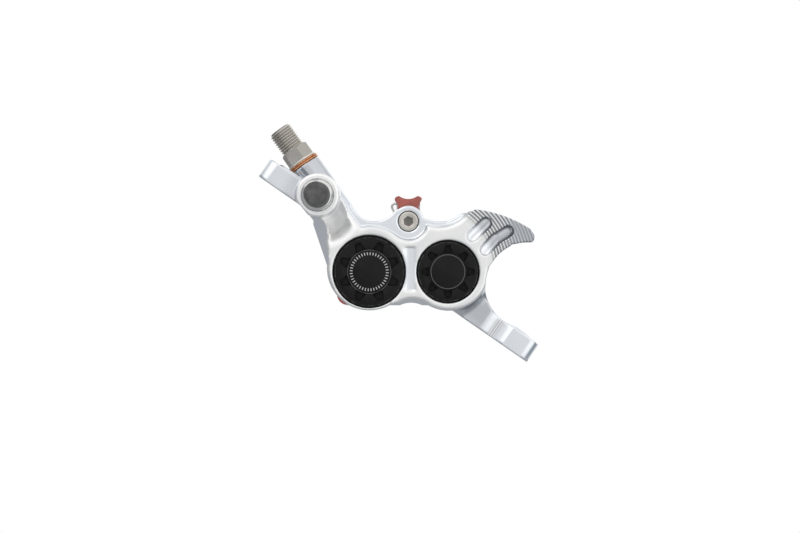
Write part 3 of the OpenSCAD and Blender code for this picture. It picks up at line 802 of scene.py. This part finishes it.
def cap_shell(radius, depth, start):
    """Bore cap with a raised centre and tool pockets, its face at height 0."""
    boss = CAP_CENTRE * radius
    shell = turned(
        [
            (0, 0), (boss, 0), (boss + 0.18 * MM, 0.25 * MM), (boss + 0.42 * MM, 0.25 * MM),
            (boss + 0.6 * MM, 0.05 * MM), (0.925 * radius, 0.05 * MM), (CAP_RIM * radius, 0.3 * MM),
            (0.965 * radius, 0.3 * MM), (radius, 0.62 * MM), (radius, depth), (0, depth),
        ],
        128,
    )
    inner, outer = 0.155 * radius, 0.085 * radius
    low, high = boss + 0.25 * MM, 0.86 * radius
    for index in range(CAP_POCKETS):
        tool = bmesh.new()
        bmesh.ops.create_cone(
            tool, cap_ends=True, segments=4, radius1=1, radius2=1, depth=3.2 * MM,
            matrix=Matrix.Rotation(math.radians(45), 4, "Z"),
        )
        for vert in tool.verts:
            near = vert.co.x < 0
            vert.co.y = math.copysign(inner if near else outer, vert.co.y)
            vert.co.x = low if near else high
        upright = [e for e in tool.edges if abs(e.verts[0].co.z - e.verts[1].co.z) > MM]
        bevelled(tool, upright, 0.35 * MM, 3)
        tool.transform(Matrix.Rotation(math.radians(start + 360 / CAP_POCKETS * index), 4, "Z"))
        shell = carved(shell, tidied(tool))
    return softened(tidied(shell), 0.07 * MM, 1, 40)


class CALIPER_OT_bore_caps(bpy.types.Operator):
    """Turn the black bore caps with their tool pockets"""

    bl_idname = "caliper.bore_caps"
    bl_label = "Bore Caps"

    def execute(self, context):
        colours = context.scene.caliper_colours
        # The last number is the share of the radius where the painted highlight line sits
        for node, start, marks, line in (("large_bore_cap", 22.5, 40, 0.6), ("small_bore_cap", 0, 0, 0.545)):
            radius, front, back = reach(node)
            centre = middle(node)
            shell = cap_shell(radius, back - front, start)
            shell.transform(
                Matrix.Translation((centre.x, front, centre.z)) @ HEAD.to_3x3().to_4x4() @ FACING
            )
            material = anodise_finish(colours, node + "_anodise", (centre.x, 0, centre.z), radius, marks, line)
            settled(node + "_face", tidied(shell), "caliper", "cap_black", material, node)
        return {"FINISHED"}


class CALIPER_OT_bleed(bpy.types.Operator):
    """Turn the bleed nipple and mould its dust cap"""

    bl_idname = "caliper.bleed"
    bl_label = "Bleed Nipple and Dust Cap"

    def execute(self, context):
        colours = context.scene.caliper_colours
        radius, front, back = reach("bleed_nipple")
        centre = middle("bleed_nipple")
        cap_radius, cap_front, cap_back = reach("bleed_cap")
        seat = cap_back - front
        place = Matrix.Translation((centre.x, front, centre.z)) @ FACING
        flange = seat + 1.2 * MM
        stem = 1.9 * MM
        drilling = 0.9 * MM
        length = back - front
        nipple = turned(
            [
                (drilling, 0), (stem - 0.5 * MM, 0), (stem, 0.9 * MM), (stem, seat), (radius - 1.05 * MM, seat),
                (radius - 0.8 * MM, seat + 0.12 * MM), (radius - 0.12 * MM, flange - 0.42 * MM),
                (radius, flange - 0.2 * MM), (radius, flange), (2.9 * MM, flange), (2.9 * MM, length - 1.6 * MM),
                (1.2 * MM, length), (drilling, length),
            ],
            closed=True,
        )
        hexagon = prism(6, 4.6 * MM, seat - 3 * MM, seat + 0.2 * MM)
        bore = turned([(0, -MM), (drilling, -MM), (drilling, 20 * MM), (0, 20 * MM)], 32)
        nipple = carved(carved(nipple, tidied(hexagon), "UNION"), bore)
        nipple.transform(place)
        steel = steel_finish(
            "nipple_steel", (0.78, 0.77, 0.75), (centre.x, 0, centre.z), FACING_TURN, rough=0.12,
            shadow_rings=(radius, 3.35 * MM),
        )
        settled("bleed_nipple_turned", tidied(nipple), "nipple", "nipple_steel", steel, "bleed_nipple")
        deep = cap_back - cap_front
        cap = turned(
            [
                (0, 0.12 * MM), (0.62 * cap_radius, 0), (0.78 * cap_radius, 0.1 * MM), (0.9 * cap_radius, 0.42 * MM),
                (0.97 * cap_radius, 1.0 * MM), (0.985 * cap_radius, 2.0 * MM), (cap_radius, deep - 0.9 * MM),
                (cap_radius, deep - 0.2 * MM), (cap_radius - 0.2 * MM, deep), (2.85 * MM, deep),
                (2.85 * MM, deep - 3 * MM), (1.98 * MM, deep - 3 * MM), (1.98 * MM, 1.25 * MM), (0, 1.25 * MM),
            ]
        )
        cap.transform(Matrix.Translation((centre.x, cap_front, centre.z)) @ FACING)
        settled(
            "bleed_dust_cap", tidied(cap), "dust_cap", "dust_rubber", rubber_finish("dust_rubber", colours.rubber),
            "bleed_cap", crease=50,
        )
        return {"FINISHED"}


def hose_frame():
    """Frame on the fitting's seat, with Z out along the hose."""
    thread = mount("hose_thread")
    axis = Vector(thread["axis"]).normalized()
    turn = Vector((0, 0, 1)).rotation_difference(axis).to_matrix().to_4x4()
    seat = Vector(thread["pos_m"]) - axis * THREAD_MIDDLE
    return Matrix.Translation(seat) @ turn


def thread_shell(outer, root, pitch, low, high):
    """Helical thread between two heights, closed at both ends."""
    bm = bmesh.new()
    start = low - 1.5 * pitch
    profile = [(root, 0), (root, 0.14), (outer, 0.44), (outer, 0.58), (root, 0.88), (root, 1)]
    verts = [bm.verts.new((r, 0, start + share * pitch)) for r, share in profile]
    edges = [bm.edges.new(pair) for pair in zip(verts, verts[1:])]
    around = 48
    turns = math.ceil((high - low) / pitch) + 3
    bmesh.ops.spin(
        bm, geom=verts + edges, cent=(0, 0, 0), axis=(0, 0, 1), dvec=(0, 0, pitch / around),
        angle=FULL_TURN * turns, steps=around * turns, use_merge=False,
    )
    bmesh.ops.remove_doubles(bm, verts=bm.verts, dist=2e-6)
    for height, normal in ((low, (0, 0, -1)), (high, (0, 0, 1))):
        bmesh.ops.bisect_plane(
            bm, geom=list(bm.verts) + list(bm.edges) + list(bm.faces), dist=DOUBLES,
            plane_co=(0, 0, height), plane_no=normal, clear_outer=True,
        )
        rim = [e for e in bm.edges if e.is_boundary and all(abs(v.co.z - height) < 1e-6 for v in e.verts)]
        bmesh.ops.holes_fill(bm, edges=rim, sides=0)
    for vert in bm.verts:
        limit = outer - max(0, vert.co.z - (high - 0.55 * MM))
        reached = math.hypot(vert.co.x, vert.co.y)
        if reached > limit:
            vert.co.x *= limit / reached
            vert.co.y *= limit / reached
    return tidied(bm)


class CALIPER_OT_hose_fitting(bpy.types.Operator):
    """Cut the hose fitting's thread and hexagon and seat its copper washer"""

    bl_idname = "caliper.hose_fitting"
    bl_label = "Hose Fitting"

    def execute(self, context):
        scene = context.scene
        colours = scene.caliper_colours
        place = hose_frame()
        collar = WASHER + COLLAR_HEIGHT
        top = collar + HEX_HEIGHT
        end = top + THREAD_LENGTH
        outer = mount("hose_thread")["dims"]["r_mm"] * MM
        hexagon = prism(6, HEX_FLATS, WASHER + 0.1 * MM, top, math.radians(75))
        crown = turned(
            [(0, WASHER), (4.4 * MM, WASHER), (4.4 * MM, top - 0.55 * MM), (3.55 * MM, top), (0, top)]
        )
        body = carved(hexagon, crown, "INTERSECT")
        flange = turned(
            [
                (0, -6.4 * MM), (2.4 * MM, -6.4 * MM), (2.9 * MM, -5.9 * MM), (2.9 * MM, WASHER), (4.2 * MM, WASHER),
                (4.3 * MM, WASHER + 0.1 * MM), (4.3 * MM, collar - 0.2 * MM), (4.1 * MM, collar), (0, collar),
            ]
        )
        body = softened(tidied(body), 0.17 * MM, 2, 35)
        body = carved(body, flange, "UNION")
        thread = thread_shell(outer, outer - THREAD_DEPTH, scene.caliper_sizes.thread_pitch, top - 0.4 * MM, end)
        body = carved(body, thread, "UNION")
        mouth = end + 0.1 * MM
        bore = turned(
            [(0, -8 * MM), (1.1 * MM, -8 * MM), (1.1 * MM, end - 2.4 * MM), (2.2 * MM, mouth), (0, mouth)], 48
        )
        body = carved(body, bore)
        body.transform(place)
        steel = steel_finish(
            "fitting_steel", colours.stainless, tuple(place.translation), tuple(place.to_euler()), 0.2 * MM, 0.3,
            cut=0.03, thread=(outer - 0.46 * MM, outer - 0.26 * MM, top),
        )
        settled("hose_fitting_cut", tidied(body), "caliper", "fitting_steel", steel, "hose_fitting", crease=24)
        ring = turned(
            [
                (2.95 * MM, 0), (4.3 * MM, 0), (4.55 * MM, 0.1 * MM), (4.6 * MM, 0.28 * MM), (4.52 * MM, 0.44 * MM),
                (4.3 * MM, 0.55 * MM), (4.52 * MM, 0.66 * MM), (4.6 * MM, 0.82 * MM), (4.55 * MM, 1.0 * MM),
                (4.3 * MM, WASHER), (2.95 * MM, WASHER),
            ],
            closed=True,
        )
        ring.transform(place)
        settled(
            "fitting_washer_ring", tidied(ring), "caliper", "washer_copper", copper_finish(colours), "fitting_washer",
            crease=50,
        )
        return {"FINISHED"}


class CALIPER_OT_pads(bpy.types.Operator):
    """Coat the pad plates, press the friction blocks and set the pin, clip and spring"""

    bl_idname = "caliper.pads"
    bl_label = "Brake Pads"

    def execute(self, context):
        colours = context.scene.caliper_colours
        coat = coat_finish(colours)
        compound = friction_finish(colours)
        sheet = spring_finish()
        for side in ("outer", "inner"):
            plate = f"{side}_pad_plate"
            block = f"{side}_pad_friction"
            settled(plate + "_coated", rounded_copy(plate, 0.22 * MM), f"{side}_pad", "plate_red", coat, plate)
            settled(block + "_pressed", rounded_copy(block, 0.2 * MM), f"{side}_pad", "friction", compound, block)
        self.set_pin(colours)
        painted("pad_pin_clip", sheet)
        spring = settled("pad_spring_leaf", merged("pad_spring"), "caliper", "spring_steel", sheet, "pad_spring")
        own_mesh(spring)
        return {"FINISHED"}

    def set_pin(self, colours):
        """Turned pin with a hexagon socket and ringed head."""
        low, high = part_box("pad_pin")
        radius = (high.x - low.x) / 2
        shank = 1.95 * MM
        deep = high.y - low.y
        pin = turned(
            [
                (0, 0.1 * MM), (0.62 * radius, 0.1 * MM), (0.68 * radius, 0), (radius - 0.45 * MM, 0),
                (radius - 0.12 * MM, 0.14 * MM), (radius, 0.45 * MM), (radius, 2 * MM), (shank, 2 * MM),
                (shank, deep - 0.6 * MM), (shank - 0.6 * MM, deep), (0, deep),
            ]
        )
        pin = carved(pin, tidied(prism(6, 2.5 * MM, -MM, 1.6 * MM, math.radians(18))))
        centre = middle("pad_pin")
        pin.transform(Matrix.Translation((centre.x, low.y, centre.z)) @ FACING)
        steel = steel_finish(
            "pin_steel", shaded(colours.stainless, 0.78), (centre.x, low.y, centre.z), FACING_TURN,
            socket=(-0.5 * MM, -0.2 * MM),
        )
        settled("pad_pin_turned", softened(tidied(pin), 0.06 * MM, 2, 35), "caliper", "pin_steel", steel, "pad_pin")


def rounded_copy(node, width):
    """Merged copy of a node with its edges broken."""
    bm = merged(node)
    bmesh.ops.dissolve_limit(bm, angle_limit=math.radians(0.8), verts=bm.verts, edges=bm.edges)
    return tidied(softened(bm, width))


class CALIPER_OT_pistons(bpy.types.Operator):
    """Grind the pistons and finish their inserts, seals and rings"""

    bl_idname = "caliper.pistons"
    bl_label = "Pistons and Seals"

    def execute(self, context):
        resin = resin_finish()
        seal = rubber_finish("seal_rubber", (0.03, 0.03, 0.03))
        for side in ("outer", "inner"):
            for size in ("large", "small"):
                name = f"{side}_{size}"
                centre = middle(name + "_piston")
                axis = (centre.x, 0, centre.z)
                steel = steel_finish(name + "_ground", (0.6, 0.6, 0.6), axis, FACING_TURN, 0.12 * MM, 0.2)
                painted(name + "_piston", steel)
                painted(name + "_insert", resin)
                painted(name + "_seal", seal)
        for size in ("large", "small"):
            painted(size + "_cap_oring", seal)
        return {"FINISHED"}


FLOOR_GAP = 45 * MM
# Levels of the room in the metal's mirror: its dark corners, what the bright walls add, and the dip ahead
ROOM_SHADE = 0.32
ROOM_LIGHT = 0.66
ROOM_DIP = 0.16
# Level of the room on everything that isn't a mirror
ROOM_FILL = 0.95
LAMP_SIZE = 0.8
PICTURE_WIDTH = 800
PIXELS_PER_MM = 3.7
CAMERA_DISTANCE = 450
SENSOR_WIDTH = 36


class CALIPER_OT_stage(bpy.types.Operator):
    """Set the floor, world, lamps and camera"""

    bl_idname = "caliper.stage"
    bl_label = "Stage"

    def execute(self, context):
        self.floor(context)
        self.world(context)
        self.lamps(context)
        self.camera(context)
        context.scene.view_settings.view_transform = "Standard"
        return {"FINISHED"}

    def floor(self, context):
        bm = bmesh.new()
        bmesh.ops.create_grid(bm, x_segments=1, y_segments=1, size=3)
        bmesh.ops.translate(bm, verts=bm.verts, vec=(0, 0, CAD_BOX[0].z - FLOOR_GAP))
        mesh = bpy.data.meshes.new("pale_floor")
        bm.to_mesh(mesh)
        bm.free()
        finish = Finish("pale_floor")
        camera, glossy = finish.outputs(finish.node("ShaderNodeLightPath"), "Is Camera Ray", "Is Glossy Ray")
        # A mirror sees the floor dark close to the caliper and pale further out
        depth = finish.axes(finish.place())[1]
        far = (0 - depth).within(50 * MM, 200 * MM)
        mirrored = finish.blend(far, (0.36, 0.37, 0.39), (0.78, 0.79, 0.8))
        tint = finish.blend(glossy, (1, 1, 1), mirrored)
        glow = finish.node("ShaderNodeEmission", None, {"Color": tint, "Strength": 1.0})
        finish.set(base_color=(0.92, 0.92, 0.92), roughness=0.9)
        lit = Term(finish, finish.shader.outputs[0])
        mixed = finish.node("ShaderNodeMixShader", None, {0: (0.98 * camera).most(0.9 * glossy), 1: lit, 2: glow})
        finish.plug(finish.tree.nodes["Material Output"].inputs["Surface"], mixed)
        mesh.materials.append(finish.material)
        floor = bpy.data.objects.new("pale_floor", mesh)
        context.scene.collection.objects.link(floor)

    def world(self, context):
        world = bpy.data.worlds.new("white_room")
        world.use_nodes = True
        context.scene.world = world
        room = Web(world.node_tree)
        camera, glossy, through = room.outputs(
            room.node("ShaderNodeLightPath"), "Is Camera Ray", "Is Glossy Ray", "Is Transmission Ray"
        )
        seen = camera.most(through)
        x, y, z = room.axes(room.node("ShaderNodeTexCoord", output="Generated"))
        front = 0 - y
        side = x * ALONG.x + z * ALONG.z
        up = x * UPWARD.x + z * UPWARD.z
        dim = (0 - 0.8 * side - 0.6 * up).within(0.35, 0.8)
        ring = front.within(0.15, 0.55) * (1 - 0.6 * dim)
        panel = (0.6 * side + 0.75 * up + 0.28 * front).within(0.55, 0.85)
        left = (0.6 * up - 0.7 * side + 0.3 * front).within(0.55, 0.85)
        lit = ring.most(panel).most(left).most(y.within(0.25, 0.75))
        walls = ROOM_SHADE + ROOM_LIGHT * lit - ROOM_DIP * front.within(0.86, 0.97)
        level = seen + (1 - seen) * (glossy * walls + (1 - glossy) * ROOM_FILL)
        ground = world.node_tree.nodes["Background"]
        room.plug(ground.inputs["Color"], room.blend(seen.most(lit), (0.82, 0.91, 1.0), (1, 1, 1)))
        room.plug(ground.inputs["Strength"], level)

    def lamps(self, context):
        aim = CENTRE + Vector((0, 10 * MM, 0))
        for name, side, height, front, power in (
            ("key_lamp", -0.4, 0.5, -0.4, 0.6),
            ("fill_lamp", 0.5, 0.0, -0.4, 0.3),
            ("back_lamp", 0.1, 0.4, 0.5, 0.15),
        ):
            lamp = bpy.data.lights.new(name, "AREA")
            lamp.shape = "DISK"
            lamp.size = LAMP_SIZE
            lamp.energy = power
            obj = bpy.data.objects.new(name, lamp)
            place = aim + ALONG * side + UPWARD * height + Vector((0, front, 0))
            turn = (aim - place).to_track_quat("-Z", "Y")
            obj.matrix_world = Matrix.Translation(place) @ turn.to_matrix().to_4x4()
            context.scene.collection.objects.link(obj)

    def camera(self, context):
        lens = bpy.data.cameras.new("photo_camera")
        lens.sensor_width = SENSOR_WIDTH
        lens.lens = SENSOR_WIDTH * PIXELS_PER_MM * CAMERA_DISTANCE / PICTURE_WIDTH
        lens.clip_start = 0.01
        obj = bpy.data.objects.new("photo_camera", lens)
        spot = HEAD @ mm(-2.3, -7.6 - CAMERA_DISTANCE, 1.4)
        obj.matrix_world = Matrix(
            (
                (ALONG.x, UPWARD.x, 0, spot.x),
                (0, 0, -1, spot.y),
                (ALONG.z, UPWARD.z, 0, spot.z),
                (0, 0, 0, 1),
            )
        )
        context.scene.collection.objects.link(obj)
        context.scene.camera = obj


OPERATORS = (
    CALIPER_OT_body,
    CALIPER_OT_bore_caps,
    CALIPER_OT_bleed,
    CALIPER_OT_hose_fitting,
    CALIPER_OT_pads,
    CALIPER_OT_pistons,
    CALIPER_OT_stage,
)


class CALIPER_PT_pieces(bpy.types.Panel):
    """Lists the caliper's pieces"""

    bl_idname = "CALIPER_PT_pieces"
    bl_label = "Caliper"
    bl_space_type = "VIEW_3D"
    bl_region_type = "UI"
    bl_category = "Caliper"

    def draw(self, context):
        for operator in OPERATORS:
            self.layout.operator(operator.bl_idname)


CLASSES = (CaliperSizes, CaliperColours, *OPERATORS, CALIPER_PT_pieces)


def register():
    for item in CLASSES:
        bpy.utils.register_class(item)
    bpy.types.Scene.caliper_sizes = PointerProperty(type=CaliperSizes)
    bpy.types.Scene.caliper_colours = PointerProperty(type=CaliperColours)


def unregister():
    del bpy.types.Scene.caliper_colours
    del bpy.types.Scene.caliper_sizes
    for item in reversed(CLASSES):
        bpy.utils.unregister_class(item)


def main():
    register()
    bpy.ops.caliper.stage()
    bpy.ops.caliper.body()
    bpy.ops.caliper.bore_caps()
    bpy.ops.caliper.bleed()
    bpy.ops.caliper.hose_fitting()
    bpy.ops.caliper.pads()
    bpy.ops.caliper.pistons()


if __name__ == "__main__":
    main()
